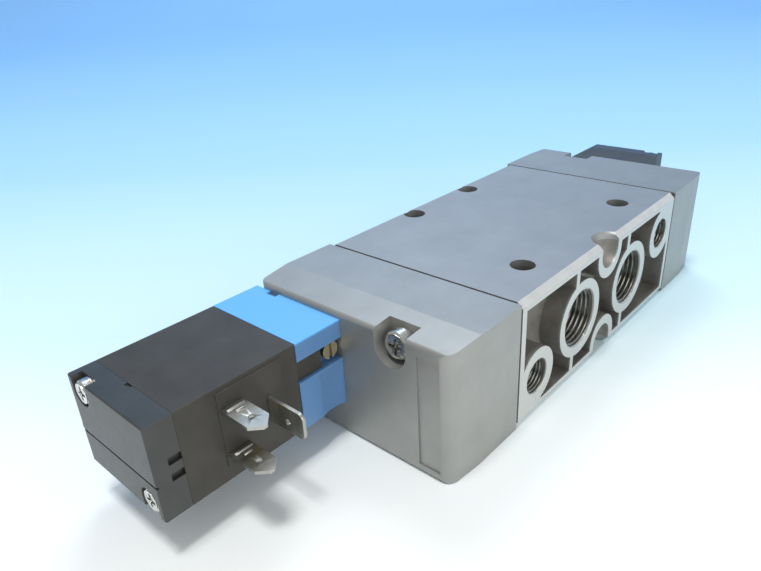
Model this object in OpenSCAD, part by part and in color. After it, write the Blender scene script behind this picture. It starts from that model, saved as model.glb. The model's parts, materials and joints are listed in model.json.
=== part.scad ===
// Directional control valve, spool type, with a solenoid pilot on each end.
// Millimetres. +Z up. The origin is the middle of the body's underside.
// X runs along the spool. Pilot side a is at -X, pilot side b at +X.
// The two-port side faces -Y and the three-port side faces +Y.
// Side b is side a turned half a turn about the Y direction through the middle of the body.

/* [Body] */
// Length of the valve body along X
body_l = 92; // [92:0.5:96]
// Width of the body and end caps along Y
body_w = 62; // [62:0.5:64]
// Height of the body and end caps
body_h = 35; // [35:0.25:36]
// Depth of the pockets in the two port sides
pocket_d = 6; // [4:0.25:6]
// Width of the rim around each pocket
rim_w = 1.9; // [1.7:0.1:2.3]

/* [Ports] */
// Core radius of the large port threads
port_r = 7.48; // [7.2:0.02:7.6]
// Radius of the raised face around a large port
port_boss_r = 11.1; // [10.4:0.1:11.2]
// Thread depth of a large port
port_depth = 12; // [10:0.5:12]
// Spacing of neighbouring ports along X
port_pitch = 15.5; // [15.5:0.1:15.7]
// Core radius of the small pilot port threads
small_r = 4.28; // [4:0.02:4.4]
// Radius of the raised face around a small port
small_boss_r = 8; // [7:0.1:8]
// Depth of a small port
small_depth = 7.5; // [6:0.5:7.5]

/* [Fixing holes] */
// Radius of the four holes through the body
fix_r = 3.3; // [2.8:0.1:3.4]
// Distance between the two holes on the two-port side
fix_near = 56; // [55.5:0.1:56.5]
// Distance between the two holes on the three-port side
fix_far = 28.6; // [28.4:0.1:28.8]

/* [Spool] */
// Distance the spool travels from end to end
spool_stroke = 6; // [5:0.25:6]
// Radius of the spool's lands
land_r = 5; // [4.8:0.05:5]
// Running gap between moving and fixed parts
run_gap = 0.05; // [0.03:0.01:0.06]

/* [End caps] */
// Outermost distance of each cap from the middle
cap_end = 73.2; // [73.2:0.1:74]
// Length of the drafted outer part of a cap
draft_l = 10.4; // [9:0.2:11]
// How far the drafted part draws in at its end
draft = 0.9; // [0.4:0.1:1]

/* [Pilots] */
// Length of the plastic pilot base between cap and coil
base_l = 13.8; // [13.8:0.1:14]
// Length of the coil with its cover
coil_l = 36.7; // [36.7:0.1:38]
// Width of the coil along Y
coil_w = 29.7; // [29.7:0.1:30.2]
// Height of the coil
coil_h = 23; // [23:0.1:23.2]
// Distance the armature travels
armature_stroke = 0.9; // [0.6:0.1:0.9]
// Distance the manual override is pushed in
override_stroke = 1.2; // [0.8:0.1:1.2]

/* [Hidden] */
$fn = 64;
half_l = body_l / 2;
half_w = body_w / 2;
mid_h = body_h / 2;
eps = 0.5;                        // overshoot of a cut past the face it opens

// valve body
edge_bevel = 1.6;                 // bevel of the long edges
pocket_z = 2.7;                   // height of the rims above and below a pocket
rib_w = 1.7;
rib_shift = -3.1;                 // rib middle from the port's middle, two-port side
lug_r = 7.2;                      // screw seat lug at mid length
lug_z = 31;
seat_ball_r = 5;
seat_ball_z = 31.7;
small_x = 37.5;                   // small port's distance from the middle
web_end = 34.8;                   // inner end of the web under a small port's boss
near_y = -20;                     // fixing holes, as Y
far_y = 26.5;

// spool bore and what it holds
bore_r = 9;
seal_w = 3.1;
seal_x = [-2.5, -1.5, -0.5, 0.5, 1.5, 2.5];
gallery_r = 11;
gallery_w = 8;
cage_gap = 0.1;
groove_r = 3;

// end caps
gasket_t = 0.7;
cap_in = half_l + gasket_t;
corner_r = 3;
edge_r = 1.2;
cyl_r = 8.5;                      // piston cylinder in the cap
cyl_end = 60.6;
screw_one = [-14.1, 29.9];        // the two cap screws, as Y and Z on side a
screw_two = [14.1, 5.1];
cap_screw_r = 2;
cap_screw_tip = 34.5;
cap_head_r = 3.5;
cap_head_h = 3.65;
notch_r = 4.5;
notch_d = 5.7;
panel = [-27.6, 2.2, 6, 29, 0.4];  // plain panel: Y, Z, width, height, depth
duct_r = 1;
feed = [20.5, 7];                  // pilot supply duct, Y and Z at the body face
vent = [-25, 10.8];               // small port duct, Y and Z at the body face
feed_exit = [20.5, 27];           // where the ducts reach the pilot, Y and Z
vent_exit = [9.6, 14.6];
work_exit = [13.5, 17.5];

// pilot on side a
pilot_y = 16;
pilot_z = 21.2;
base_y0 = 1;
base_y1 = 31;
base_z0 = 9.7;
base_z1 = 32.7;
coil_x0 = cap_end + base_l;       // coil face against the base, as a distance from the middle
coil_x1 = coil_x0 + coil_l;
cover_l = 6.4;
cover_x = coil_x1 - cover_l;
pilot_screw = [10.2, 8.4];        // from the pilot's axis, along Y and Z
pilot_screw_r = 1.45;
pilot_head_r = 2.85;
pilot_head_h = 2.4;
pilot_seat_r = 3.05;              // round seat of a pilot screw's head in the cover
pilot_seat_d = 2.55;
pilot_thread_r = 1.5;             // hole in the cap
pilot_hole_r = 1.65;              // hole through base, coil and cover
coil_wall = 2;
cavity_y = 12.4;
cavity_z = 6;
cavity_r = 9.7;
tube_r = 4.5;
tube_in = 4.1;
chamber_r = 5.6;
chamber_end = 81.5;
seat_tip = 82.5;
arm_front = 84.4;                 // front shoulder of the armature
arm_back = 103;
core_face = arm_back + armature_stroke + 0.1;
core_end = 116.6;
spring_pocket = 94;
slot_z0 = 22.3;                   // slot in the base's near side
slot_z1 = 28;
slot_deep = 7;                    // back of the slot behind the coil's tongue, as Y
slot_shallow = 4;                 // back of the slot around the override
tongue_end = 79.1;
tongue_face = 2;
override_x = 76;
override_z = 25.4;
override_r = 2.3;
override_face = 2;
override_groove = [7.6, 8.8];
override_end = 10.2;
override_bore_end = 13.2;
contact_x = 104.9;
contact_z = 21.7;
contact_pitch = 11;
contact_w = 5.5;
earth_x = 95.9;
earth_z = 21.3;
earth_w = 6.3;
pad_y = 0.8;                      // face of the raised pad under the terminals
blade_t = 0.8;
blade_root = 3.4;
nut_x = 100.4;
window_z = [18, 21.9];            // the cover's two snap windows
window_h = 1.8;

// ---------- helpers ----------

// side b: half a turn about the Y direction through the middle of the body
module turned() translate([0, 0, body_h]) rotate([0, 180, 0]) children();

// a round bar along X between two distances, used on side a where x is negative
module bar_x(x0, x1, y, z, r)
  translate([-max(x0, x1), y, z]) rotate([0, 90, 0]) cylinder(h = abs(x1 - x0), r = r);
module bar_y(x, y0, y1, z, r)
  translate([x, max(y0, y1), z]) rotate([90, 0, 0]) cylinder(h = abs(y1 - y0), r = r);
module bar_z(x, y, z0, z1, r)
  translate([x, y, min(z0, z1)]) cylinder(h = abs(z1 - z0), r = r);

// the same, given about the pilot's own axis
module pilot_bar(x0, x1, r) bar_x(x0, x1, pilot_y, pilot_z, r);
module pilot_box(x0, x1, wy, wz) {
  translate([-max(x0, x1), pilot_y - wy / 2, pilot_z - wz / 2])
    cube([abs(x1 - x0), wy, wz]);
}
module at_pilot_screws() {
  for (s = [-1, 1])
    translate([0, pilot_y + s * pilot_screw[0], pilot_z + s * pilot_screw[1]])
      children();
}

// a duct through square corners given as [distance from the middle, y, z]
module duct(points, r) {
  for (i = [0 : len(points) - 2]) {
    a = points[i];
    b = points[i + 1];
    if (a[0] != b[0]) bar_x(a[0], b[0], a[1], a[2], r);
    if (a[1] != b[1]) bar_y(-a[0], a[1], b[1], a[2], r);
    if (a[2] != b[2]) bar_z(-a[0], a[1], a[2], b[2], r);
    if (i > 0) translate([-a[0], a[1], a[2]]) sphere(r = r, $fn = 32);
  }
}

// a ring of round section about the X axis
module ring_x(r_mid, r_wire)
  rotate([0, 90, 0]) rotate_extrude() translate([r_mid, 0]) circle(r = r_wire, $fn = 24);

// a coil spring along +X, its wire swept round as a chain of flat-sided sections
module spring_x(r_mid, r_wire, length, turns) {
  sides = 8;
  steps = 16 * turns;
  rise = length - 2 * r_wire;
  path = [for (i = [0 : steps]) [360 * i / 16, r_wire + rise * i / steps]];
  points = [for (p = path) for (j = [0 : sides - 1])
    let (reach = r_mid + r_wire * cos(360 * j / sides))
      [reach * cos(p[0]), reach * sin(p[0]), p[1] + r_wire * sin(360 * j / sides)]];
  walls = [for (i = [0 : steps - 1]) for (j = [0 : sides - 1])
    let (k = i * sides, n = (j + 1) % sides)
      each [[k + j, k + n, k + n + sides], [k + j, k + n + sides, k + j + sides]]];
  ends = [[for (j = [0 : sides - 1]) sides - 1 - j], [for (j = [0 : sides - 1]) steps * sides + j]];
  rotate([0, 90, 0]) polyhedron(points = points, faces = concat(walls, ends));
}

// a pan head screw along X on side a: head outermost, its face at x = -face
module pan_screw(face, head_h, head_r, shank_r, tip) {
  difference() {
    union() {
      bar_x(face, face - head_h, 0, 0, head_r - 0.5);
      translate([-face + 0.5, 0, 0]) rotate([0, 90, 0]) cylinder(h = head_h - 0.5, r = head_r);
      translate([-face, 0, 0]) rotate([0, 90, 0]) cylinder(h = 0.5, r1 = head_r - 0.7, r2 = head_r);
      bar_x(face - head_h, tip, 0, 0, shank_r);
    }
    for (a = [0, 90])
      rotate([a, 0, 0]) translate([-face - 0.1, -head_r * 0.6, -head_r * 0.12])
        cube([head_h * 0.6, head_r * 1.2, head_r * 0.24]);
    for (a = [45, 135])
      rotate([a, 0, 0]) translate([-face - 0.1, -head_r * 0.42, -head_r * 0.04])
        cube([head_h * 0.3, head_r * 0.84, head_r * 0.08]);
    bar_x(face + 0.1, face - head_h * 0.7, 0, 0, head_r * 0.24);
  }
}

// ---------- valve body ----------

// the outline of a face pocket in X and Z
module pocket_floor(depth) {
  translate([-half_l + rim_w, 0, pocket_z])
    cube([body_l - 2 * rim_w, depth, body_h - 2 * pocket_z]);
}
module port_bosses(xs) for (x = xs) bar_y(x, -eps, pocket_d + eps, mid_h, port_boss_r);

// a U-shaped lug at mid length, open at the top, with its screw seat cut in
module saddle_outline() {
  bar_y(0, -eps, pocket_d + eps, lug_z, lug_r);
  translate([-lug_r, -eps, lug_z]) cube([2 * lug_r, pocket_d + 2 * eps, body_h - lug_z + eps]);
}
module saddle_cut() {
  translate([0, 0, seat_ball_z]) {
    cylinder(h = body_h, r = seat_ball_r);
    sphere(r = seat_ball_r);
  }
  translate([0, 0, body_h - 0.6]) cylinder(h = 1, r1 = seat_ball_r, r2 = seat_ball_r + 1);
}
// a thin upright rib across a pocket
module rib(x) translate([x - rib_w / 2, -eps, 0]) cube([rib_w, pocket_d + 2 * eps, body_h]);
module both_ways() {
  children();
  turned() children();
}

// everything cut from the two-port face, drawn with the face at y = 0 and the body at +y
module two_port_pocket() {
  difference() {
    translate([0, -eps, 0]) pocket_floor(pocket_d + eps);
    port_bosses([-port_pitch, port_pitch]);
    for (s = [-1, 1]) rib(s * port_pitch + rib_shift);
    both_ways() {
      saddle_outline();
      bar_y(-small_x, -eps, pocket_d + eps, vent[1], small_boss_r);
      translate([-half_l, -eps, 0]) cube([half_l - web_end, pocket_d + 2 * eps, vent[1]]);
    }
  }
}
module three_port_pocket() {
  difference() {
    translate([0, -eps, 0]) pocket_floor(pocket_d + eps);
    port_bosses([-2 * port_pitch, 0, 2 * port_pitch]);
    for (s = [-1, 1]) {
      bar_z(s * fix_far / 2, half_w - far_y, -eps, body_h + eps, fix_r + 2);
      rib(s * fix_far / 2);
    }
    for (i = [-1, 0, 1]) rib(i * 2 * port_pitch);
  }
}
module large_port(x) {
  bar_y(x, -eps, port_depth, mid_h, port_r);
  translate([x, -0.01, mid_h]) rotate([-90, 0, 0]) cylinder(h = 1, r1 = port_r + 1, r2 = port_r);
  bar_y(x, port_depth - eps, half_w - gallery_r + 3, mid_h, 6);
}
module side_a_holes() {
  // small port and its duct to the end face
  bar_y(-small_x, -half_w - eps, -half_w + small_depth, vent[1], small_r);
  translate([-small_x, -half_w - 0.01, vent[1]])
    rotate([-90, 0, 0]) cylinder(h = 0.7, r1 = small_r + 0.7, r2 = small_r);
  bar_x(half_l + eps, small_x, vent[0], vent[1], duct_r);
  // pilot supply duct, to the middle of the body and across to port one
  bar_x(half_l + eps, 0, feed[0], feed[1], duct_r);
  // cap screw threads
  for (s = [screw_one, screw_two]) bar_x(half_l + eps, cap_screw_tip - 1, s[0], s[1], cap_screw_r + 0.05);
  translate([0, -half_w, 0]) saddle_cut();
}
module valve_body() {
  color([0.66, 0.68, 0.7])
    difference() {
      body_block();
      translate([0, -half_w, 0]) two_port_pocket();
      rotate([0, 0, 180]) translate([0, -half_w, 0]) three_port_pocket();
      for (s = [-1, 1]) translate([0, -half_w, 0]) large_port(s * port_pitch);
      for (i = [-1, 0, 1]) rotate([0, 0, 180]) translate([0, -half_w, 0]) large_port(i * 2 * port_pitch);
      bar_x(half_l + eps, -half_l - eps, 0, mid_h, bore_r);
      for (i = [-2 : 2]) translate([i * port_pitch, 0, 0]) bar_x(-gallery_w / 2, gallery_w / 2, 0, mid_h, gallery_r);
      for (s = [-1, 1]) {
        bar_z(s * fix_near / 2, near_y, -eps, body_h + eps, fix_r);
        bar_z(s * fix_far / 2, far_y, -eps, body_h + eps, fix_r);
      }
      both_ways() side_a_holes();
      bar_z(0, feed[0], feed[1], body_h - feed[1], duct_r);
    }
}
// the long top and bottom edges are bevelled
module body_block() {
  bevel = edge_bevel;
  rotate([90, 0, 90])
    translate([0, 0, -half_l])
      linear_extrude(height = body_l)
        polygon([[-half_w, bevel], [-half_w + bevel, 0], [half_w - bevel, 0], [half_w, bevel],
                 [half_w, body_h - bevel], [half_w - bevel, body_h], [-half_w + bevel, body_h],
                 [-half_w, body_h - bevel]]);
}

// ---------- seals, cages and spool ----------

module seal_rings() {
  color([0.07, 0.07, 0.075])
    for (k = seal_x)
      translate([k * port_pitch, 0, mid_h])
        rotate([0, 90, 0])
          rotate_extrude()
            polygon([[land_r + run_gap, -0.6], [land_r + 0.7, -seal_w / 2], [bore_r - 0.05, -seal_w / 2],
                     [bore_r - 0.05, seal_w / 2], [land_r + 0.7, seal_w / 2], [land_r + run_gap, 0.6]]);
}
module cage(x0, x1, holes) {
  inner = land_r + 0.4;
  difference() {
    translate([x0, 0, mid_h]) rotate([0, 90, 0]) cylinder(h = x1 - x0, r = bore_r - 0.05);
    translate([x0 - eps, 0, mid_h]) rotate([0, 90, 0]) cylinder(h = x1 - x0 + 2 * eps, r = inner);
    if (holes) {
      translate([x0 + 1.6, 0, mid_h]) rotate([0, 90, 0]) cylinder(h = x1 - x0 - 3.2, r = bore_r - 1.6);
      for (a = [0 : 60 : 179])
        translate([(x0 + x1) / 2, 0, mid_h])
          rotate([a, 0, 0]) cylinder(h = 3 * bore_r, r = 2.6, center = true);
    }
  }
}
module seal_cages() {
  half_seal = seal_w / 2 + cage_gap;
  color([0.8, 0.66, 0.36]) {
    for (i = [-2 : 2])
      cage((i - 0.5) * port_pitch + half_seal, (i + 0.5) * port_pitch - half_seal, true);
    cage(-half_l + 0.05, -2.5 * port_pitch - half_seal, false);
    cage(2.5 * port_pitch + half_seal, half_l - 0.05, false);
  }
}
// the spool stands at its -X stop
module spool() {
  rod_end = 49.8;
  color([0.78, 0.79, 0.8])
    translate([-spool_stroke / 2, 0, mid_h])
      rotate([0, 90, 0])
        rotate_extrude()
          polygon([[0, -rod_end], [1.9, -rod_end], [1.9, -46.5], [4.2, -46.5], [land_r, -45.7],
                   [land_r, -24.4], [groove_r, -22.4], [groove_r, -9.4], [land_r, -7.4],
                   [land_r, 7.4], [groove_r, 9.4], [groove_r, 22.4], [land_r, 24.4],
                   [land_r, 45.7], [4.2, 46.5], [1.9, 46.5], [1.9, rod_end], [0, rod_end]]);
}
module piston() {
  // a loose piston pushes on each end of the spool
  translate([-spool_stroke / 2 - 50, 0, mid_h])
    rotate([0, -90, 0])
      rotate_extrude()
        polygon([[0, 0], [cyl_r - run_gap - 0.6, 0], [cyl_r - run_gap, 0.6], [cyl_r - run_gap, 1.9],
                 [cyl_r - 1.9, 1.9], [cyl_r - 1.9, 4.4], [cyl_r - run_gap, 4.4], [cyl_r - run_gap, 6.4],
                 [cyl_r - run_gap - 0.6, 7], [3.5, 7], [3.5, 5.2], [0, 5.2]]);
}
module piston_seal() {
  translate([-spool_stroke / 2 - 53.15, 0, mid_h]) ring_x(cyl_r - 0.95, 0.85);
}
module piston_b_place() translate([-spool_stroke, 0, 0]) turned() children();
module piston_a() color([0.85, 0.85, 0.82]) piston();
module piston_b() color([0.85, 0.85, 0.82]) piston_b_place() piston();
module piston_seal_a() color([0.07, 0.07, 0.075]) piston_seal();
module piston_seal_b() color([0.07, 0.07, 0.075]) piston_b_place() piston_seal();

// ---------- end caps ----------

// a drafted block drawn in plan: straight out to the crease, then drawing in by low on one side and
// high on the other, with round corners
module drafted(half, r, height, low, high) {
  crease = cap_end - draft_l;
  lean = [atan(low / draft_l), atan(high / draft_l)];
  cx = cap_end - r;
  cy = [for (k = [0, 1]) half - [low, high][k] - r * (1 - sin(lean[k])) / cos(lean[k])];
  tx = [for (k = [0, 1]) cx + r * sin(lean[k])];
  ty = [for (k = [0, 1]) cy[k] + r * cos(lean[k])];
  union() {
    linear_extrude(height = height)
      polygon([[-cap_in, -half], [-crease, -half], [-tx[0], -ty[0]], [-cx, -cy[0]], [-cap_end, -cy[0]],
               [-cap_end, cy[1]], [-cx, cy[1]], [-tx[1], ty[1]], [-crease, half], [-cap_in, half]]);
    for (k = [0, 1]) translate([-cx, (2 * k - 1) * cy[k], 0]) cylinder(h = height, r = r + 0.015);
  }
}
module cap_ducts() {
  duct([[cap_in - eps, feed[0], feed[1]], [67, feed[0], feed[1]], [67, feed_exit[0], feed_exit[1]],
        [cap_end + eps, feed_exit[0], feed_exit[1]]], duct_r);
  duct([[cap_in - eps, vent[0], vent[1]], [64, vent[0], vent[1]], [64, vent_exit[0], vent[1]],
        [64, vent_exit[0], vent_exit[1]], [cap_end + eps, vent_exit[0], vent_exit[1]]], duct_r);
  duct([[cyl_end - eps, 4, mid_h], [70, 4, mid_h], [70, work_exit[0], mid_h],
        [cap_end + eps, work_exit[0], mid_h]], duct_r);
}
module end_cap() {
  difference() {
    intersection() {
      drafted(half_w, corner_r, body_h, draft, draft);
      translate([0, half_w, mid_h]) rotate([90, 0, 0]) drafted(mid_h, edge_r, body_w, 0, draft);
    }
    bar_x(cap_in - eps, cyl_end, 0, mid_h, cyl_r);
    cap_ducts();
    // screw holes, each with a round seat that breaks out through the nearest edge
    for (s = [screw_one, screw_two]) {
      up = s[1] > mid_h;
      bar_x(cap_in - eps, cap_end, s[0], s[1], cap_screw_r + 0.1);
      bar_x(cap_end - notch_d, cap_end + eps, s[0], s[1], notch_r);
      translate([-cap_end - eps, s[0] - notch_r, up ? s[1] : -eps])
        cube([notch_d + eps, 2 * notch_r, up ? body_h - s[1] + eps : s[1] + eps]);
    }
    // threads for the two pilot screws
    at_pilot_screws() bar_x(cap_end - 6, cap_end + eps, 0, 0, pilot_thread_r);
    // shallow plain panel
    translate([-cap_end - eps, panel[0], panel[1]]) cube([panel[4] + eps, panel[2], panel[3]]);
  }
}
module end_cap_a() color([0.68, 0.69, 0.68]) end_cap();
module end_cap_b() color([0.68, 0.69, 0.68]) turned() end_cap();

module cap_gasket() {
  inset = 0.45;
  difference() {
    translate([-half_l - gasket_t + 0.02, -half_w + inset, inset])
      cube([gasket_t - 0.04, body_w - 2 * inset, body_h - 2 * inset]);
    bar_x(half_l - eps, cap_in + eps, 0, mid_h, cyl_r + 0.1);
    for (s = [screw_one, screw_two]) bar_x(half_l - eps, cap_in + eps, s[0], s[1], cap_screw_r + 0.3);
    for (d = [feed, vent]) bar_x(half_l - eps, cap_in + eps, d[0], d[1], duct_r + 0.2);
    translate([-cap_in - eps, -3, body_h - inset - 0.8]) cube([gasket_t + 2 * eps, 6, 2]);
  }
}
module cap_gasket_a() color([0.1, 0.1, 0.1]) cap_gasket();
module cap_gasket_b() color([0.1, 0.1, 0.1]) turned() cap_gasket();

module cap_screws() {
  for (s = [screw_one, screw_two])
    translate([0, s[0], s[1]])
      pan_screw(cap_end - notch_d + cap_head_h + 0.05, cap_head_h, cap_head_r, cap_screw_r, cap_screw_tip);
}
module cap_screws_a() color([0.75, 0.75, 0.72]) cap_screws();
module cap_screws_b() color([0.75, 0.75, 0.72]) turned() cap_screws();

// ---------- pilot base ----------

module pilot_base() {
  slot_h = slot_z1 - slot_z0;
  hollow_r = 12;
  difference() {
    translate([-coil_x0 + 0.05, base_y0, base_z0])
      cube([base_l - 0.1, base_y1 - base_y0, base_z1 - base_z0]);
    // chamber for the armature's nose and the bore of its seat
    pilot_bar(coil_x0 + eps, chamber_end, chamber_r);
    pilot_bar(chamber_end + eps, 77, 2.5);
    // ducts
    duct([[cap_end - eps, feed_exit[0], feed_exit[1]], [75.6, feed_exit[0], feed_exit[1]],
          [75.6, feed_exit[0], pilot_z], [75.6, pilot_y, pilot_z], [77.5, pilot_y, pilot_z]], 0.9);
    bar_x(cap_end - eps, chamber_end + eps, work_exit[0], work_exit[1], 0.9);
    duct([[cap_end - eps, vent_exit[0], vent_exit[1]], [override_x, vent_exit[0], vent_exit[1]],
          [override_x, 11.4, vent_exit[1]], [override_x, 11.4, override_z]], 0.9);
    for (e = [feed_exit, vent_exit, work_exit]) bar_x(cap_end - eps, cap_end + 0.75, e[0], e[1], 1.9);
    at_pilot_screws() bar_x(cap_end - eps, coil_x0 + eps, 0, 0, pilot_hole_r);
    // slot in the near side: the coil's tongue fills its outer part, the override stands in the rest
    translate([-coil_x0 - eps, base_y0 - eps, slot_z0])
      cube([coil_x0 - tongue_end + 0.2 + eps, slot_deep - base_y0 + eps, slot_h]);
    translate([-tongue_end, base_y0 - eps, slot_z0]) cube([base_l, slot_shallow - base_y0 + eps, slot_h]);
    bar_y(-override_x, base_y0, override_bore_end, override_z, override_r + run_gap);
    // shallow hollow curve below the slot, towards the cap
    bar_z(-cap_end - 4.2, base_y0 - hollow_r + 0.6, base_z0 - eps, slot_z0 - 0.8, hollow_r);
    // small step in the top edge at the cap
    translate([-cap_end - 1.6, 22.2, base_z1 - 0.8]) cube([2, 3.4, 2]);
  }
}
module pilot_base_a() color([0.2, 0.47, 0.82]) pilot_base();
module pilot_base_b() color([0.2, 0.47, 0.82]) turned() pilot_base();

module port_seals() {
  for (e = [feed_exit, vent_exit, work_exit])
    translate([-cap_end - 0.37, e[0], e[1]]) ring_x(1.45, 0.36);
}
module port_seals_a() color([0.07, 0.07, 0.075]) port_seals();
module port_seals_b() color([0.07, 0.07, 0.075]) turned() port_seals();

module pilot_seat() {
  difference() {
    union() {
      pilot_bar(77.2, 80.9, 2.45);
      pilot_bar(80.8, seat_tip, 1.2);
    }
    pilot_bar(77, seat_tip + eps, 0.5);
  }
}
module pilot_seat_a() color([0.8, 0.63, 0.3]) pilot_seat();
module pilot_seat_b() color([0.8, 0.63, 0.3]) turned() pilot_seat();

// ---------- coil ----------

module coil_shell() {
  difference() {
    union() {
      pilot_box(coil_x0 + 0.1, cover_x, coil_w, coil_h);
      // tongue reaching into the base's slot
      translate([-coil_x0 - 1, tongue_face, slot_z0 + 0.15])
        cube([coil_x0 + 1 - tongue_end, slot_deep - 0.15 - tongue_face, slot_z1 - slot_z0 - 0.3]);
      // raised pad the terminals stand on
      translate([-108, pad_y, 13]) cube([16.5, 1.5, 18.6]);
    }
    // cavity for the magnet frame and the bobbin, open towards the cover
    pilot_bar(coil_x0 + coil_wall + 0.1, cover_x + eps, cavity_r);
    pilot_box(coil_x0 + coil_wall + 0.1, cover_x + eps, 2 * cavity_y, 2 * cavity_z);
    pilot_bar(coil_x0 - eps, coil_x0 + coil_wall + eps, tube_r + 0.1);
    at_pilot_screws() bar_x(coil_x0 - eps, cover_x + eps, 0, 0, pilot_hole_r);
    terminal_slots();
    translate([-nut_x, 0, contact_z]) bar_y(0, 0.3, 3, 0, 2);
  }
}
module terminal_slots() {
  for (s = [-1, 1])
    translate([-contact_x - 1.6, -1, contact_z + s * contact_pitch / 2 - 0.45]) cube([3.2, 5, 0.9]);
  translate([-earth_x - 0.45, -1, earth_z - 1.6]) cube([0.9, 5, 3.2]);
}
module coil_shell_a() color([0.13, 0.13, 0.13]) coil_shell();
module coil_shell_b() color([0.13, 0.13, 0.13]) turned() coil_shell();

module coil_cover() {
  difference() {
    pilot_box(cover_x + 0.08, coil_x1, coil_w, coil_h);
    at_pilot_screws() {
      bar_x(cover_x, coil_x1 + eps, 0, 0, pilot_hole_r);
      bar_x(coil_x1 - pilot_seat_d, coil_x1 + eps, 0, 0, pilot_seat_r);
    }
    // the upper screw seat breaks out of the top, the lower one out of the underside
    for (a = [0, 180])
      translate([0, pilot_y, pilot_z])
        rotate([a, 0, 0])
          translate([-coil_x1 - eps, pilot_screw[0] - pilot_seat_r, pilot_screw[1]])
            cube([pilot_seat_d + eps, 2 * pilot_seat_r, 6]);
    // plain groove across the front
    translate([-coil_x1 - eps, 0, 18.2]) cube([0.4 + eps, base_y1 + 1, 0.5]);
    // two snap windows in the near side and a small mark in the top edge at the seam
    for (z = window_z) translate([-coil_x1 + 3.4, 0, z]) cube([3.5, 2.2, window_h]);
    translate([-cover_x - 0.9, 15.4, pilot_z + coil_h / 2 - 0.5]) cube([1.2, 2, 1]);
  }
}
module coil_cover_a() color([0.12, 0.13, 0.13]) coil_cover();
module coil_cover_b() color([0.12, 0.13, 0.13]) turned() coil_cover();

module pilot_screws() {
  at_pilot_screws() pan_screw(coil_x1 - 0.1, pilot_head_h, pilot_head_r, pilot_screw_r, cap_end - 5.5);
}
module pilot_screws_a() color([0.78, 0.78, 0.75]) pilot_screws();
module pilot_screws_b() color([0.78, 0.78, 0.75]) turned() pilot_screws();

module bobbin() {
  difference() {
    union() {
      pilot_bar(91.9, 93.1, 9.4);
      pilot_bar(114.2, 115.4, 9.4);
      pilot_bar(92.5, 115, 5.6);
    }
    pilot_bar(91, 116, tube_r + 0.1);
  }
}
module bobbin_a() color([0.85, 0.83, 0.75]) bobbin();
module bobbin_b() color([0.85, 0.83, 0.75]) turned() bobbin();

module winding() {
  difference() {
    pilot_bar(93.2, 114.1, 9);
    pilot_bar(93, 114.5, 5.7);
  }
}
module winding_a() color([0.72, 0.36, 0.16]) winding();
module winding_b() color([0.72, 0.36, 0.16]) turned() winding();

module yoke() {
  difference() {
    pilot_box(coil_x0 + coil_wall + 0.3, cover_x - 0.2, 2 * cavity_y - 0.4, 2 * cavity_z - 0.4);
    pilot_box(91.4, 115.8, 2 * cavity_y - 3.6, 2 * cavity_z + 1);
    pilot_bar(coil_x0, coil_x1, tube_r + 0.1);
  }
}
module yoke_a() color([0.6, 0.61, 0.6]) yoke();
module yoke_b() color([0.6, 0.61, 0.6]) turned() yoke();

module armature_tube() {
  difference() {
    union() {
      pilot_bar(85.6, 116.4, tube_r);
      pilot_bar(85.6, 86.9, chamber_r - 0.1);
    }
    pilot_bar(85, 117, tube_in);
  }
}
module armature_tube_a() color([0.72, 0.7, 0.62]) armature_tube();
module armature_tube_b() color([0.72, 0.7, 0.62]) turned() armature_tube();

module fixed_core() {
  difference() {
    pilot_bar(core_face, core_end, tube_in - 0.02);
    pilot_bar(core_face - eps, core_end + eps, 0.6);
  }
}
module fixed_core_a() color([0.55, 0.56, 0.57]) fixed_core();
module fixed_core_b() color([0.55, 0.56, 0.57]) turned() fixed_core();

module armature() {
  difference() {
    union() {
      pilot_bar(arm_front, arm_back, tube_in - run_gap);
      pilot_bar(83, arm_front + eps, 2.8);
    }
    pilot_bar(spring_pocket, arm_back + eps, 2.2);
    pilot_bar(82.5, 83.95, 1.8);
  }
}
module armature_a() color([0.5, 0.51, 0.53]) armature();
module armature_b() color([0.5, 0.51, 0.53]) turned() armature();

module armature_seal() pilot_bar(seat_tip + 0.05, 83.9, 1.75);
module armature_seal_a() color([0.25, 0.1, 0.08]) armature_seal();
module armature_seal_b() color([0.25, 0.1, 0.08]) turned() armature_seal();

module armature_spring() {
  translate([-core_face + 0.02, pilot_y, pilot_z])
    spring_x(1.6, 0.28, core_face - spring_pocket - 0.04, 7);
}
module armature_spring_a() color([0.7, 0.7, 0.68]) armature_spring();
module armature_spring_b() color([0.7, 0.7, 0.68]) turned() armature_spring();

// ---------- terminals ----------

// a contact blade drawn in plan: a pointed end, two raised ridges across it and a narrow root
module contact(z) {
  tip = -10.1;
  shoulder = -7.8;
  foot = pad_y - 0.1;
  translate([-contact_x, 0, z])
    difference() {
      union() {
        translate([0, 0, -blade_t / 2])
          linear_extrude(height = blade_t)
            polygon([[-contact_w / 2, foot], [-contact_w / 2, shoulder], [-0.5, tip], [0.5, tip],
                     [contact_w / 2, shoulder], [contact_w / 2, foot], [1.5, foot],
                     [1.5, blade_root], [-1.5, blade_root], [-1.5, foot]]);
        bar_x(-1, 1, -2, blade_t / 2 - 0.1, 0.45);
        bar_x(-2.2, 2.2, -0.6, blade_t / 2 - 0.1, 0.45);
      }
      translate([0, -5.8, -blade_t]) cylinder(h = 2 * blade_t, r = 0.75);
    }
}
module contact_one_a() color([0.82, 0.82, 0.78]) contact(contact_z + contact_pitch / 2);
module contact_one_b() color([0.82, 0.82, 0.78]) turned() contact(contact_z + contact_pitch / 2);
module contact_two_a() color([0.82, 0.82, 0.78]) contact(contact_z - contact_pitch / 2);
module contact_two_b() color([0.82, 0.82, 0.78]) turned() contact(contact_z - contact_pitch / 2);
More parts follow.
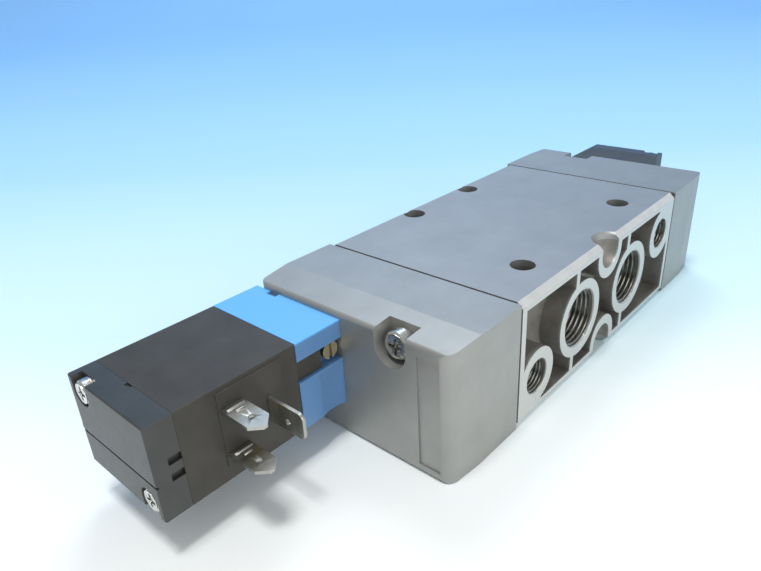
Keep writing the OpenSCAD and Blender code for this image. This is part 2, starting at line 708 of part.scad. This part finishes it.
// the earth blade stands upright and has round corners
module earth_contact() {
  tip = -10.4;
  corner = 1.3;
  foot = pad_y - 0.1;
  translate([-earth_x - blade_t / 2, 0, earth_z])
    difference() {
      union() {
        translate([0, tip + corner, -earth_w / 2]) cube([blade_t, foot - tip - corner, earth_w]);
        translate([0, tip, -earth_w / 2 + corner]) cube([blade_t, 2 * corner, earth_w - 2 * corner]);
        for (s = [-1, 1])
          translate([0, tip + corner, s * (earth_w / 2 - corner)])
            rotate([0, 90, 0]) cylinder(h = blade_t, r = corner);
        translate([0, 0, -1.5]) cube([blade_t, blade_root, 3]);
      }
      translate([-1, -5.6, -0.6]) rotate([0, 90, 0]) cylinder(h = 3, r = 0.75);
    }
}
module earth_contact_a() color([0.82, 0.82, 0.78]) earth_contact();
module earth_contact_b() color([0.82, 0.82, 0.78]) turned() earth_contact();

module plug_nut() {
  difference() {
    translate([-nut_x, 0, contact_z]) bar_y(0, 0.85, 2.9, 0, 1.95);
    translate([-nut_x, 0, contact_z]) bar_y(0, 0, 3.5, 0, 1.25);
  }
}
module plug_nut_a() color([0.8, 0.63, 0.3]) plug_nut();
module plug_nut_b() color([0.8, 0.63, 0.3]) turned() plug_nut();

// ---------- manual override ----------

module override() {
  difference() {
    union() {
      bar_y(-override_x, override_face, override_groove[0], override_z, override_r);
      bar_y(-override_x, override_face, override_end, override_z, override_r - 0.5);
      bar_y(-override_x, override_groove[1], override_end, override_z, override_r);
    }
    // screwdriver slot
    translate([-override_x - 0.45, override_face - eps, override_z - 2 * override_r])
      cube([0.9, 1 + eps, 4 * override_r]);
  }
}
module override_a() color([0.78, 0.66, 0.45]) override();
module override_b() color([0.78, 0.66, 0.45]) turned() override();
module override_seal() {
  middle = (override_groove[0] + override_groove[1]) / 2;
  translate([-override_x, middle, override_z]) rotate([0, 0, 90]) ring_x(override_r - 0.24, 0.22);
}
module override_seal_a() color([0.07, 0.07, 0.075]) override_seal();
module override_seal_b() color([0.07, 0.07, 0.075]) turned() override_seal();
module override_spring() {
  length = override_bore_end - override_end - 0.04;
  translate([-override_x, override_end + 0.02, override_z])
    rotate([0, 0, 90]) spring_x(1.5, 0.22, length, 3);
}
module override_spring_a() color([0.7, 0.7, 0.68]) override_spring();
module override_spring_b() color([0.7, 0.7, 0.68]) turned() override_spring();

// ---------- the parts ----------

valve_body();
seal_cages();
seal_rings();
spool();
end_cap_a();
end_cap_b();
cap_gasket_a();
cap_gasket_b();
cap_screws_a();
cap_screws_b();
piston_a();
piston_b();
piston_seal_a();
piston_seal_b();
pilot_base_a();
pilot_base_b();
port_seals_a();
port_seals_b();
pilot_seat_a();
pilot_seat_b();
coil_shell_a();
coil_shell_b();
coil_cover_a();
coil_cover_b();
pilot_screws_a();
pilot_screws_b();
bobbin_a();
bobbin_b();
winding_a();
winding_b();
yoke_a();
yoke_b();
armature_tube_a();
armature_tube_b();
fixed_core_a();
fixed_core_b();
armature_a();
armature_b();
armature_seal_a();
armature_seal_b();
armature_spring_a();
armature_spring_b();
contact_one_a();
contact_one_b();
contact_two_a();
contact_two_b();
earth_contact_a();
earth_contact_b();
plug_nut_a();
plug_nut_b();
override_a();
override_b();
override_seal_a();
override_seal_b();
override_spring_a();
override_spring_b();
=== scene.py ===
import bpy
import bmesh
import json
import math
from mathutils import Matrix, Vector


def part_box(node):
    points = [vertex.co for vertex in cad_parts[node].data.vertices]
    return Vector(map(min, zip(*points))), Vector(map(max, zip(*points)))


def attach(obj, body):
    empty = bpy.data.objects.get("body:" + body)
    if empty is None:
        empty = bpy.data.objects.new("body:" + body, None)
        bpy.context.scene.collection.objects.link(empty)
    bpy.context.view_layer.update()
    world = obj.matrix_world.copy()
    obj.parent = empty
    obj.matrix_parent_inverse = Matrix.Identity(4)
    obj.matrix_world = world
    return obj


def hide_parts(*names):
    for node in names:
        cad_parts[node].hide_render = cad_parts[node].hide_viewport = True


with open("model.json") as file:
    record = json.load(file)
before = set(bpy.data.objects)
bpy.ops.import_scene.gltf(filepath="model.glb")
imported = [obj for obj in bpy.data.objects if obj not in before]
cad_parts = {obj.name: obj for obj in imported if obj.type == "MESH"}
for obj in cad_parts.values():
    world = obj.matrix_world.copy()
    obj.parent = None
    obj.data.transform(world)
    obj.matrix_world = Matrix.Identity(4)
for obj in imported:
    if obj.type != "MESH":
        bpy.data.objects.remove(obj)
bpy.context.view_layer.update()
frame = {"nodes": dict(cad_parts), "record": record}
NODES = frame["nodes"]
BODY_OF = {n: b for b, names in frame["record"]["behaviour"]["bodies"].items() for n in names}
SLOT_OF = {p["node"]: p["material_slot"] for p in frame["record"]["subparts"]}
MM = 0.001
HALF_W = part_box("valve_body")[1][1]
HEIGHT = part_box("valve_body")[1][2]
DRAFT_LENGTH = 10.4 * MM
CREASE_X = abs(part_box("end_cap_a")[0][0]) - DRAFT_LENGTH  # where the caps' sides start to lean in
SEAM_X = abs(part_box("coil_cover_a")[1][0])                # seam between coil shell and cover
RIM_HEIGHT = 1.9 * MM                                     # of the rims round the body's side pockets
SHARP_ANGLE = math.radians(30)                            # edges sharper than this are rounded
FLAT_ANGLE = math.radians(0.6)                            # faces flatter than this become one
SMOOTH_ANGLE = math.radians(32)                           # shading is smooth below this
THREAD_SMOOTH = math.radians(40)
CORNER_TOL = 0.02 * MM                                    # how near counts as on a place
PLANE_TOL = 0.03 * MM
CREASE_TOL = 0.1 * MM


# ---------------------------------------------------------------- materials

def new_material(name):
    m = bpy.data.materials.new(name)
    m.use_nodes = True
    nt = m.node_tree
    return m, nt, nt.nodes["Principled BSDF"]


def noise(nt, scale, detail=3.0, rough=0.55, stretch=(1, 1, 1)):
    """Noise fixed to the object, between 0 and 1."""
    tc = nt.nodes.new("ShaderNodeTexCoord")
    mp = nt.nodes.new("ShaderNodeMapping")
    mp.inputs["Scale"].default_value = stretch
    n = nt.nodes.new("ShaderNodeTexNoise")
    n.inputs["Scale"].default_value = scale
    n.inputs["Detail"].default_value = detail
    n.inputs["Roughness"].default_value = rough
    nt.links.new(tc.outputs["Object"], mp.inputs["Vector"])
    nt.links.new(mp.outputs["Vector"], n.inputs["Vector"])
    return n.outputs["Fac"]


def ramp(nt, fac, stops):
    r = nt.nodes.new("ShaderNodeValToRGB")
    els = r.color_ramp.elements
    while len(els) < len(stops):
        els.new(0.5)
    for e, (pos, col) in zip(els, stops):
        e.position = pos
        e.color = tuple(col) + (1,) if len(col) == 3 else col
    nt.links.new(fac, r.inputs["Fac"])
    return r.outputs["Color"]


def remap(nt, fac, lo, hi):
    m = nt.nodes.new("ShaderNodeMapRange")
    m.inputs["To Min"].default_value = lo
    m.inputs["To Max"].default_value = hi
    nt.links.new(fac, m.inputs["Value"])
    return m.outputs["Result"]


def bump(nt, bsdf, height, strength, distance):
    b = nt.nodes.new("ShaderNodeBump")
    b.inputs["Strength"].default_value = strength
    b.inputs["Distance"].default_value = distance
    nt.links.new(height, b.inputs["Height"])
    nt.links.new(b.outputs["Normal"], bsdf.inputs["Normal"])


def edge_highlight(nt, amount):
    """Painted highlight: white on the rounded edges of the finer copies, broken up by noise."""
    a = nt.nodes.new("ShaderNodeAttribute")
    a.attribute_name = "painted_highlight"
    m = nt.nodes.new("ShaderNodeMath")
    m.operation = "MULTIPLY"
    nt.links.new(a.outputs["Fac"], m.inputs[0])
    nt.links.new(remap(nt, noise(nt, 240, 3), amount * 0.6, amount), m.inputs[1])
    return m.outputs[0]


def mix_colour(nt, fac, a, b):
    m = nt.nodes.new("ShaderNodeMix")
    m.data_type = "RGBA"
    nt.links.new(fac, m.inputs["Factor"])
    for sock, v in ((m.inputs[6], a), (m.inputs[7], b)):
        if isinstance(v, (tuple, list)):
            sock.default_value = tuple(v) + (1,)
        else:
            nt.links.new(v, sock)
    return m.outputs[2]


def maths(nt, op, a, b=0.0):
    m = nt.nodes.new("ShaderNodeMath")
    m.operation = op
    for sock, v in ((m.inputs[0], a), (m.inputs[1], b)):
        if isinstance(v, (int, float)):
            sock.default_value = v
        else:
            nt.links.new(v, sock)
    return m.outputs[0]


def side_distance(nt):
    """Distance from the valve's middle plane, across its width."""
    tc = nt.nodes.new("ShaderNodeTexCoord")
    sp = nt.nodes.new("ShaderNodeSeparateXYZ")
    nt.links.new(tc.outputs["Object"], sp.inputs["Vector"])
    return maths(nt, "ABSOLUTE", sp.outputs["Y"])


def pocket_shade_mask(nt, face_y, z_low, z_high):
    """White where the painted shade goes inside the side pockets: behind the port faces and between the two
    rims.
    """
    tc = nt.nodes.new("ShaderNodeTexCoord")
    sp = nt.nodes.new("ShaderNodeSeparateXYZ")
    nt.links.new(tc.outputs["Object"], sp.inputs["Vector"])
    behind = maths(nt, "LESS_THAN", side_distance(nt), face_y)
    above = maths(nt, "GREATER_THAN", sp.outputs["Z"], z_low)
    below = maths(nt, "LESS_THAN", sp.outputs["Z"], z_high)
    return maths(nt, "MULTIPLY", behind, maths(nt, "MULTIPLY", above, below))


EDGE_HIGHLIGHT = (0.92, 0.93, 0.92)         # painted highlight colour of the castings' rounded edges
MILLED = (0.60, 0.60, 0.575)        # colour of the machined port faces
MILLED_DEPTH = 0.1 * MM
POCKET_DEPTH = 0.45 * MM            # below the port faces the pocket's painted shade starts


def cast_metal(name, dark, light, rough, metallic, pocket_shade=None):
    """Satin die-cast metal. hollow is the painted shade colour inside the body's side pockets."""
    m, nt, b = new_material(name)
    blotch = noise(nt, 90, 4, 0.6)
    col = ramp(nt, blotch, [(0.32, dark), (0.68, light)])
    # painted highlight along the rounded edges: near-white colour, smoother and less metallic there
    highlight_fac = edge_highlight(nt, 0.95)
    col = mix_colour(nt, highlight_fac, col, EDGE_HIGHLIGHT)
    coarse = remap(nt, noise(nt, 420, 3), rough - 0.06, rough + 0.08)
    coarse = maths(nt, "SUBTRACT", coarse, maths(nt, "MULTIPLY", highlight_fac, 0.18))
    if pocket_shade:
        # painted shade inside the side pockets: a darker colour there, and a rougher finish
        inside = pocket_shade_mask(nt, HALF_W - POCKET_DEPTH, RIM_HEIGHT, HEIGHT - RIM_HEIGHT)
        pocket_shade_colour = ramp(nt, noise(nt, 160, 4, 0.65), [(0.3, pocket_shade), (0.7, tuple(c * 1.5 for c in pocket_shade))])
        milled = maths(nt, "GREATER_THAN", side_distance(nt), HALF_W - MILLED_DEPTH)
        col = mix_colour(nt, milled, col, MILLED)
        col = mix_colour(nt, inside, col, pocket_shade_colour)
        coarse = maths(nt, "ADD", coarse, maths(nt, "MULTIPLY", inside, 0.14))
    nt.links.new(col, b.inputs["Base Color"])
    dull = maths(nt, "SUBTRACT", metallic, maths(nt, "MULTIPLY", highlight_fac, 0.45))
    nt.links.new(dull, b.inputs["Metallic"])
    nt.links.new(coarse, b.inputs["Roughness"])
    bump(nt, b, noise(nt, 2600, 2), 0.5, 0.00004)
    return m


TOP_LIGHT_RISE = (14.6 * MM, 15.1 * MM)    # from mid height, where the painted light on the top fades in


def plastic(name, dark, light, rough, coat=0.0, specular=0.5, painted_top_light=None):
    """Moulded plastic. flange is painted light: a lighter colour on the faces furthest from mid height, so
    the top looks lit.
    """
    m, nt, b = new_material(name)
    col = ramp(nt, noise(nt, 130, 3), [(0.3, dark), (0.7, light)])
    # painted light: the faces furthest from mid height get a lighter colour
    if painted_top_light:
        tc = nt.nodes.new("ShaderNodeTexCoord")
        sp = nt.nodes.new("ShaderNodeSeparateXYZ")
        nt.links.new(tc.outputs["Object"], sp.inputs["Vector"])
        rise = maths(nt, "ABSOLUTE", maths(nt, "SUBTRACT", sp.outputs["Z"], HEIGHT / 2))
        span = nt.nodes.new("ShaderNodeMapRange")
        span.inputs["From Min"].default_value = TOP_LIGHT_RISE[0]
        span.inputs["From Max"].default_value = TOP_LIGHT_RISE[1]
        nt.links.new(rise, span.inputs["Value"])
        col = mix_colour(nt, span.outputs["Result"], col, painted_top_light)
    b.inputs["Specular IOR Level"].default_value = specular
    # painted highlight on the rounded edges: a lighter colour and a smoother finish there
    highlight_fac = edge_highlight(nt, 0.7)
    highlight_colour = tuple(min(1, c * 1.3 + 0.11) for c in light)
    nt.links.new(mix_colour(nt, highlight_fac, col, highlight_colour), b.inputs["Base Color"])
    coarse = remap(nt, noise(nt, 600, 3), rough - 0.05, rough + 0.07)
    coarse = maths(nt, "SUBTRACT", coarse, maths(nt, "MULTIPLY", highlight_fac, 0.16))
    nt.links.new(coarse, b.inputs["Roughness"])
    b.inputs["Coat Weight"].default_value = coat
    b.inputs["Coat Roughness"].default_value = 0.25
    bump(nt, b, noise(nt, 3200, 2), 0.35, 0.00003)
    return m


def turned_metal(name, dark, light, rough, axis=0, rings=2500):
    """Machined metal: fine lines across the named axis."""
    m, nt, b = new_material(name)
    stretch = [30, 30, 30]
    stretch[axis] = rings
    lines = noise(nt, 1.0, 2, 0.5, tuple(stretch))
    col = ramp(nt, lines, [(0.3, dark), (0.7, light)])
    nt.links.new(col, b.inputs["Base Color"])
    b.inputs["Metallic"].default_value = 1.0
    nt.links.new(remap(nt, lines, rough - 0.07, rough + 0.09), b.inputs["Roughness"])
    bump(nt, b, lines, 0.25, 0.00002)
    return m


def rubber(name, dark, light):
    m, nt, b = new_material(name)
    nt.links.new(ramp(nt, noise(nt, 500, 3), [(0.3, dark), (0.7, light)]), b.inputs["Base Color"])
    nt.links.new(remap(nt, noise(nt, 900, 2), 0.5, 0.7), b.inputs["Roughness"])
    bump(nt, b, noise(nt, 2500, 2), 0.3, 0.00003)
    return m


MATS = {
    # the body's darker pocket colour is painted shade in its side pockets
    "body_aluminium": cast_metal("cast_body", (0.335, 0.34, 0.335), (0.375, 0.38, 0.375), 0.44, 0.6,
                                 pocket_shade=(0.215, 0.205, 0.185)),
    "cap_aluminium": cast_metal("cast_cap", (0.335, 0.337, 0.32), (0.375, 0.377, 0.36), 0.42, 0.6),
    "seal_rubber": rubber("rubber_black", (0.012, 0.012, 0.013), (0.03, 0.03, 0.032)),
    "cage_brass": turned_metal("brass_turned", (0.55, 0.40, 0.18), (0.80, 0.62, 0.32), 0.32),
    "spool_steel": turned_metal("spool_ground", (0.55, 0.56, 0.57), (0.75, 0.76, 0.77), 0.22),
    "piston_plastic": plastic("piston_moulded", (0.72, 0.72, 0.67), (0.84, 0.84, 0.80), 0.5),
    # the blue plastic's lighter top colour is painted light
    "blue_plastic": plastic("blue_moulded", (0.10, 0.23, 0.46), (0.115, 0.26, 0.50), 0.32, 0.25,
                            painted_top_light=(0.14, 0.46, 0.92)),
    "coil_plastic": plastic("coil_moulded", (0.052, 0.049, 0.043), (0.068, 0.064, 0.057), 0.42,
                            specular=0.22),
    "cover_plastic": plastic("cover_moulded", (0.037, 0.039, 0.037), (0.052, 0.054, 0.051), 0.38, 0.05),
    "screw_nickel": turned_metal("nickel_plate", (0.58, 0.57, 0.53), (0.78, 0.77, 0.73), 0.24, rings=900),
    "bobbin_plastic": plastic("bobbin_moulded", (0.66, 0.63, 0.52), (0.80, 0.78, 0.68), 0.5),
    "winding_copper": turned_metal("copper_wire", (0.42, 0.15, 0.05), (0.72, 0.33, 0.14), 0.3, rings=5200),
    "magnet_steel": turned_metal("magnet_plate", (0.36, 0.37, 0.38), (0.52, 0.53, 0.54), 0.3),
    "tube_steel": turned_metal("tube_drawn", (0.52, 0.51, 0.48), (0.70, 0.69, 0.65), 0.25),
    "poppet_rubber": rubber("rubber_brown", (0.10, 0.035, 0.03), (0.16, 0.06, 0.05)),
    "spring_steel": turned_metal("spring_wire", (0.46, 0.46, 0.45), (0.66, 0.66, 0.64), 0.28),
    "blade_tin": turned_metal("tin_blade", (0.36, 0.36, 0.33), (0.54, 0.54, 0.50), 0.36, axis=1, rings=500),
    "override_brass": turned_metal("override_turned", (0.50, 0.43, 0.28), (0.70, 0.62, 0.44), 0.34, axis=1),
}
for name, obj in NODES.items():
    for s in obj.material_slots:
        s.material = MATS[SLOT_OF[name]]


# ---------------------------------------------------------------- finer copies of the visible parts

def baked(ob, kind, **settings):
    """The object's mesh after one modifier."""
    mod = ob.modifiers.new("work", kind)
    for key, value in settings.items():
        setattr(mod, key, value)
    done = bpy.data.meshes.new_from_object(ob.evaluated_get(bpy.context.evaluated_depsgraph_get()))
    ob.modifiers.clear()
    ob.data = done
    for p in done.polygons:
        p.use_smooth = True
    return done


def on_corner(edge, lo, hi, sides):
    """True for an edge that lies along a corner of the box lo-hi, on at least one of the named sides."""
    spots = []
    for k in range(3):
        for which, v in ((0, lo[k]), (1, hi[k])):
            if all(abs(p.co[k] - v) < CORNER_TOL for p in edge.verts):
                spots.append((k, which))
    return len(spots) > 1 and any(s in sides for s in spots)


def in_plane(edge, x):
    """True for an edge that lies in the plane at distance x from the middle, on either side."""
    return all(abs(abs(v.co.x) - x) < PLANE_TOL for v in edge.verts)


def keep_crease(me):
    """Keeps the crease sharp where a cap's sides start to lean in."""
    for e in me.edges:
        if all(abs(abs(me.vertices[v].co.x) - CREASE_X) < CREASE_TOL for v in e.vertices):
            e.use_edge_sharp = True


BEVEL_DEPTH = 1.7 * MM
BEVEL_HIGHLIGHT = 0.75


def highlight_bevel(name, p):
    """1 on the valve body's bevelled long edges, which get a painted highlight."""
    diagonal = math.sqrt(0.5)
    slanted = abs(abs(p.normal.y) - diagonal) < 0.1 and abs(abs(p.normal.z) - diagonal) < 0.1
    return int(name == "valve_body" and slanted and abs(p.center.y) > HALF_W - BEVEL_DEPTH)


MOST_CORNERS = 12


def fine(name, width, outer=None):
    """A copy of a CAD part's mesh with its sharp edges rounded by width mm, shown in its place.
    outer = (radius mm, sides) first rounds the corners of its box by more."""
    me = NODES[name].data.copy()
    bm = bmesh.new()
    bm.from_mesh(me)
    bmesh.ops.remove_doubles(bm, verts=bm.verts, dist=1e-6)
    bmesh.ops.dissolve_limit(bm, angle_limit=FLAT_ANGLE, verts=bm.verts, edges=bm.edges)
    # a face with holes in it comes out of the bevel torn unless it is cut into triangles first
    bmesh.ops.triangulate(bm, faces=[f for f in bm.faces if len(f.verts) > MOST_CORNERS])
    if name == "valve_body":
        widen_ports(bm)
    if outer:
        lo = [min(v.co[k] for v in bm.verts) for k in range(3)]
        hi = [max(v.co[k] for v in bm.verts) for k in range(3)]
        chosen = [e for e in bm.edges if on_corner(e, lo, hi, outer[1])]
        bmesh.ops.bevel(bm, geom=chosen, offset=outer[0] * MM, segments=4, profile=0.5, affect="EDGES",
                        clamp_overlap=True, material=1)
    weight = bm.edges.layers.float.new("bevel_weight_edge")
    for e in bm.edges:
        if e.is_manifold and e.calc_face_angle() > SHARP_ANGLE and not in_plane(e, SEAM_X):
            e[weight] = 1.0
    bm.to_mesh(me)
    bm.free()
    me.materials.clear()
    for i in (0, 1):
        me.materials.append(MATS[SLOT_OF[name]])
    ob = bpy.data.objects.new("fine_" + name, me)
    bpy.context.scene.collection.objects.link(ob)
    baked(ob, "BEVEL", width=width * MM, segments=2, limit_method="WEIGHT",
          use_clamp_overlap=True, miter_outer="MITER_ARC", material=1)
    # painted highlight: set on the bevel faces and on the body's long chamfers, read by the materials
    painted_highlight = ob.data.attributes.new("painted_highlight", "FLOAT", "FACE")
    for p in ob.data.polygons:
        painted_highlight.data[p.index].value = max(p.material_index, BEVEL_HIGHLIGHT * highlight_bevel(name, p))
        p.material_index = 0
    ob.data.set_sharp_from_angle(angle=SMOOTH_ANGLE)
    if name.startswith("end_cap"):
        keep_crease(ob.data)
    done = baked(ob, "WEIGHTED_NORMAL", mode="FACE_AREA", weight=90, keep_sharp=True)
    done.materials.clear()
    done.materials.append(MATS[SLOT_OF[name]])
    shown(ob, BODY_OF[name])
    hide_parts(name)


def shown(ob, body):
    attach(ob, body)


# Port threads: core radius, root radius, pitch and depth, in mm
G_LARGE = (7.48, 8.33, 1.337, 10.6)
G_SMALL = (4.28, 4.86, 0.907, 6.6)
PORTS = {}
for mount in frame["record"]["mounts"]:
    if mount["kind"] == "threaded_hole":
        x, y, z = mount["pos_m"]
        form = G_LARGE if mount["dims"]["r_mm"] > 6 else G_SMALL
        PORTS[mount["name"]] = (x, math.copysign(HALF_W, y), z, form)
SLEEVE_GAP = 0.03
LEAD_IN = 0.9
PORT_REACH = 16 * MM
AROUND = 72         # points round a thread
PER_TURN = 8        # rows of points in one turn


def widen_ports(bm):
    """Opens the plain port holes to the threads' root size, so that a threaded sleeve fits inside."""
    for x, face, z, form in PORTS.values():
        core, root, pitch, depth = form
        for v in bm.verts:
            r = math.hypot(v.co.x - x, v.co.z - z)
            in_reach = v.co.y * math.copysign(1, face) > HALF_W - PORT_REACH
            if abs(r - core * MM) < PLANE_TOL and in_reach:
                k = (root + SLEEVE_GAP) * MM / r
                v.co.x = x + (v.co.x - x) * k
                v.co.z = z + (v.co.z - z) * k


def thread_sleeve(name, x, face, z, form):
    """The thread of one port: a helical V groove between core and root size, closed at the back."""
    core, root, pitch, depth = form
    side = math.copysign(1, face)
    rows = int(depth / pitch * PER_TURN)
    bm = bmesh.new()

    def point(j, r, along):
        a = 2 * math.pi * j / AROUND
        return bm.verts.new((x + r * MM * math.cos(a), face - side * along * MM, z + r * MM * math.sin(a)))

    rings = []
    for i in range(rows + 1):
        ring = []
        for j in range(AROUND):
            phase = (i / PER_TURN + j / AROUND) % 1.0
            v_cut = 1 - abs(2 * phase - 1)
            r = core + (root - core) * min(1, max(0, v_cut * 1.25 - 0.12))
            ring.append(point(j, r, LEAD_IN + i * pitch / PER_TURN))
        rings.append(ring)
    for along in (LEAD_IN + rows * pitch / PER_TURN, LEAD_IN):
        rings.append([point(j, root + SLEEVE_GAP / 2, along) for j in range(AROUND)])
    for k, low in enumerate(rings):
        high = rings[(k + 1) % len(rings)]
        for j in range(AROUND):
            n = (j + 1) % AROUND
            bm.faces.new((low[j], low[n], high[n], high[j]))
    bmesh.ops.recalc_face_normals(bm, faces=bm.faces)
    me = bpy.data.meshes.new("thread_" + name)
    bm.to_mesh(me)
    bm.free()
    for p in me.polygons:
        p.use_smooth = True
    me.set_sharp_from_angle(angle=THREAD_SMOOTH)
    me.materials.append(THREAD_METAL)
    ob = bpy.data.objects.new("thread_" + name, me)
    bpy.context.scene.collection.objects.link(ob)
    shown(ob, "valve")


THREAD_METAL = turned_metal("cut_thread", (0.26, 0.26, 0.24), (0.38, 0.38, 0.35), 0.42, axis=1, rings=900)
A_SIDES = ((0, 0),)     # the low X side
B_SIDES = ((0, 1),)     # the high X side
COVER_CORNER = 1.1      # mm
# Width of the rounded edges, in mm
FINE = {"valve_body": 0.3, "end_cap": 0.6, "pilot_base": 0.3, "coil_shell": 0.35, "coil_cover": 0.25,
        "cap_screws": 0.12, "pilot_screws": 0.1, "contact_one": 0.1, "contact_two": 0.1,
        "earth_contact": 0.1, "override": 0.12}
for base, w in FINE.items():
    for name in [n for n in NODES if n in (base, base + "_a", base + "_b")]:
        outer = None
        if base == "coil_cover":
            outer = (COVER_CORNER, A_SIDES if name.endswith("_a") else B_SIDES)
        fine(name, w, outer)
for name, port in PORTS.items():
    thread_sleeve(name, *port)


# ---------------------------------------------------------------- floor, backdrop, light, camera

VIEW_DIR = Vector((0.728, 0.686, 0))
# The sheet's profile along the view direction, as distance and height, and half its width, in metres
SHEET = [(-2.5, 0.0), (-0.5, 0.0), (0.9, 0.0), (1.1, 0.01),
         (1.3, 0.06), (1.45, 0.16), (1.55, 0.35), (1.6, 1.8)]
SHEET_HALF = 3
SHEET_DROP = 0.1 * MM
FADE = (-0.2, 1.8)      # distances between which the colour changes
# Place along the fade, and colour: white near, sky blue far
FLOOR_STOPS = [(0.04, (0.97, 0.97, 0.95)), (0.075, (0.90, 0.96, 0.97)), (0.1, (0.68, 0.89, 0.97)),
               (0.2, (0.40, 0.69, 0.96)), (0.33, (0.31, 0.60, 0.95)), (0.48, (0.28, 0.57, 0.94)),
               (0.9, (0.25, 0.53, 0.92))]


def stage_sheet():
    """A floor, white near the camera, that turns sky blue with distance and curves up into a backdrop."""
    me = bpy.data.meshes.new("floor")
    side = Vector((VIEW_DIR.y, -VIEW_DIR.x, 0))
    verts, faces = [], []
    for u, z in SHEET:
        for w in (-SHEET_HALF, SHEET_HALF):
            p = VIEW_DIR * u + side * w
            verts.append((p.x, p.y, z - SHEET_DROP))
    for i in range(len(SHEET) - 1):
        faces.append((2 * i, 2 * i + 1, 2 * i + 3, 2 * i + 2))
    me.from_pydata(verts, [], faces)
    for p in me.polygons:
        p.use_smooth = True
    ob = bpy.data.objects.new("floor", me)
    bpy.context.scene.collection.objects.link(ob)
    m, nt, b = new_material("floor_paper")
    tc = nt.nodes.new("ShaderNodeTexCoord")
    dot = nt.nodes.new("ShaderNodeVectorMath")
    dot.operation = "DOT_PRODUCT"
    dot.inputs[1].default_value = VIEW_DIR
    nt.links.new(tc.outputs["Object"], dot.inputs[0])
    span = nt.nodes.new("ShaderNodeMapRange")
    span.inputs["From Min"].default_value = FADE[0]
    span.inputs["From Max"].default_value = FADE[1]
    nt.links.new(dot.outputs["Value"], span.inputs["Value"])
    grade = ramp(nt, span.outputs["Result"], FLOOR_STOPS)
    soft = mix_colour(nt, remap(nt, noise(nt, 7, 2), 0, 0.04), grade, (0.9, 0.9, 0.9))
    nt.links.new(soft, b.inputs["Base Color"])
    b.inputs["Roughness"].default_value = 0.75
    b.inputs["Specular IOR Level"].default_value = 0.2
    me.materials.append(m)


def area_light(name, loc, target, size, power, colour):
    li = bpy.data.lights.new(name, "AREA")
    li.shape = "RECTANGLE"
    li.size, li.size_y = size
    li.energy = power
    li.color = colour
    ob = bpy.data.objects.new(name, li)
    ob.location = loc
    ob.rotation_euler = (Vector(target) - Vector(loc)).to_track_quat("-Z", "Y").to_euler()
    bpy.context.scene.collection.objects.link(ob)


stage_sheet()
area_light("overhead", (-0.35, -0.05, 2.0), (0, 0, 0), (0.4, 0.4), 20, (1, 0.99, 0.98))
area_light("back_sky", (0.8, 0.75, 1.6), (0, 0, 0.02), (0.7, 0.7), 9, (0.92, 0.96, 1))
area_light("side_fill", (-0.15, -1.8, 0.7), (0, 0, 0.02), (1.4, 0.8), 12, (1, 0.98, 0.94))

world = bpy.data.worlds.new("studio")
bpy.context.scene.world = world
world.use_nodes = True
bg = world.node_tree.nodes["Background"]
bg.inputs["Color"].default_value = (0.92, 0.97, 1.0, 1)
bg.inputs["Strength"].default_value = 0.45

# The camera's lens, its place, and its right, down and forward directions
LENS_MM = 30.9723
SENSOR_MM = 36
CAMERA_PLACE = (-0.16238, -0.096599, 0.106205)
CAMERA_RIGHT = Vector((0.665247, -0.74475, -0.052859))
CAMERA_DOWN = Vector((-0.363697, -0.261413, -0.894085))
CAMERA_FORWARD = Vector((0.652052, 0.614012, -0.444767))
cam = bpy.data.cameras.new("camera")
cam.lens = LENS_MM
cam.sensor_width = SENSOR_MM
cam.clip_start = 0.005
cam_ob = bpy.data.objects.new("camera", cam)
turn = Matrix((CAMERA_RIGHT, -CAMERA_DOWN, -CAMERA_FORWARD)).transposed()
cam_ob.matrix_world = Matrix.Translation(CAMERA_PLACE) @ turn.to_4x4()
bpy.context.scene.collection.objects.link(cam_ob)
bpy.context.scene.camera = cam_ob
bpy.context.scene.view_settings.view_transform = "Standard"
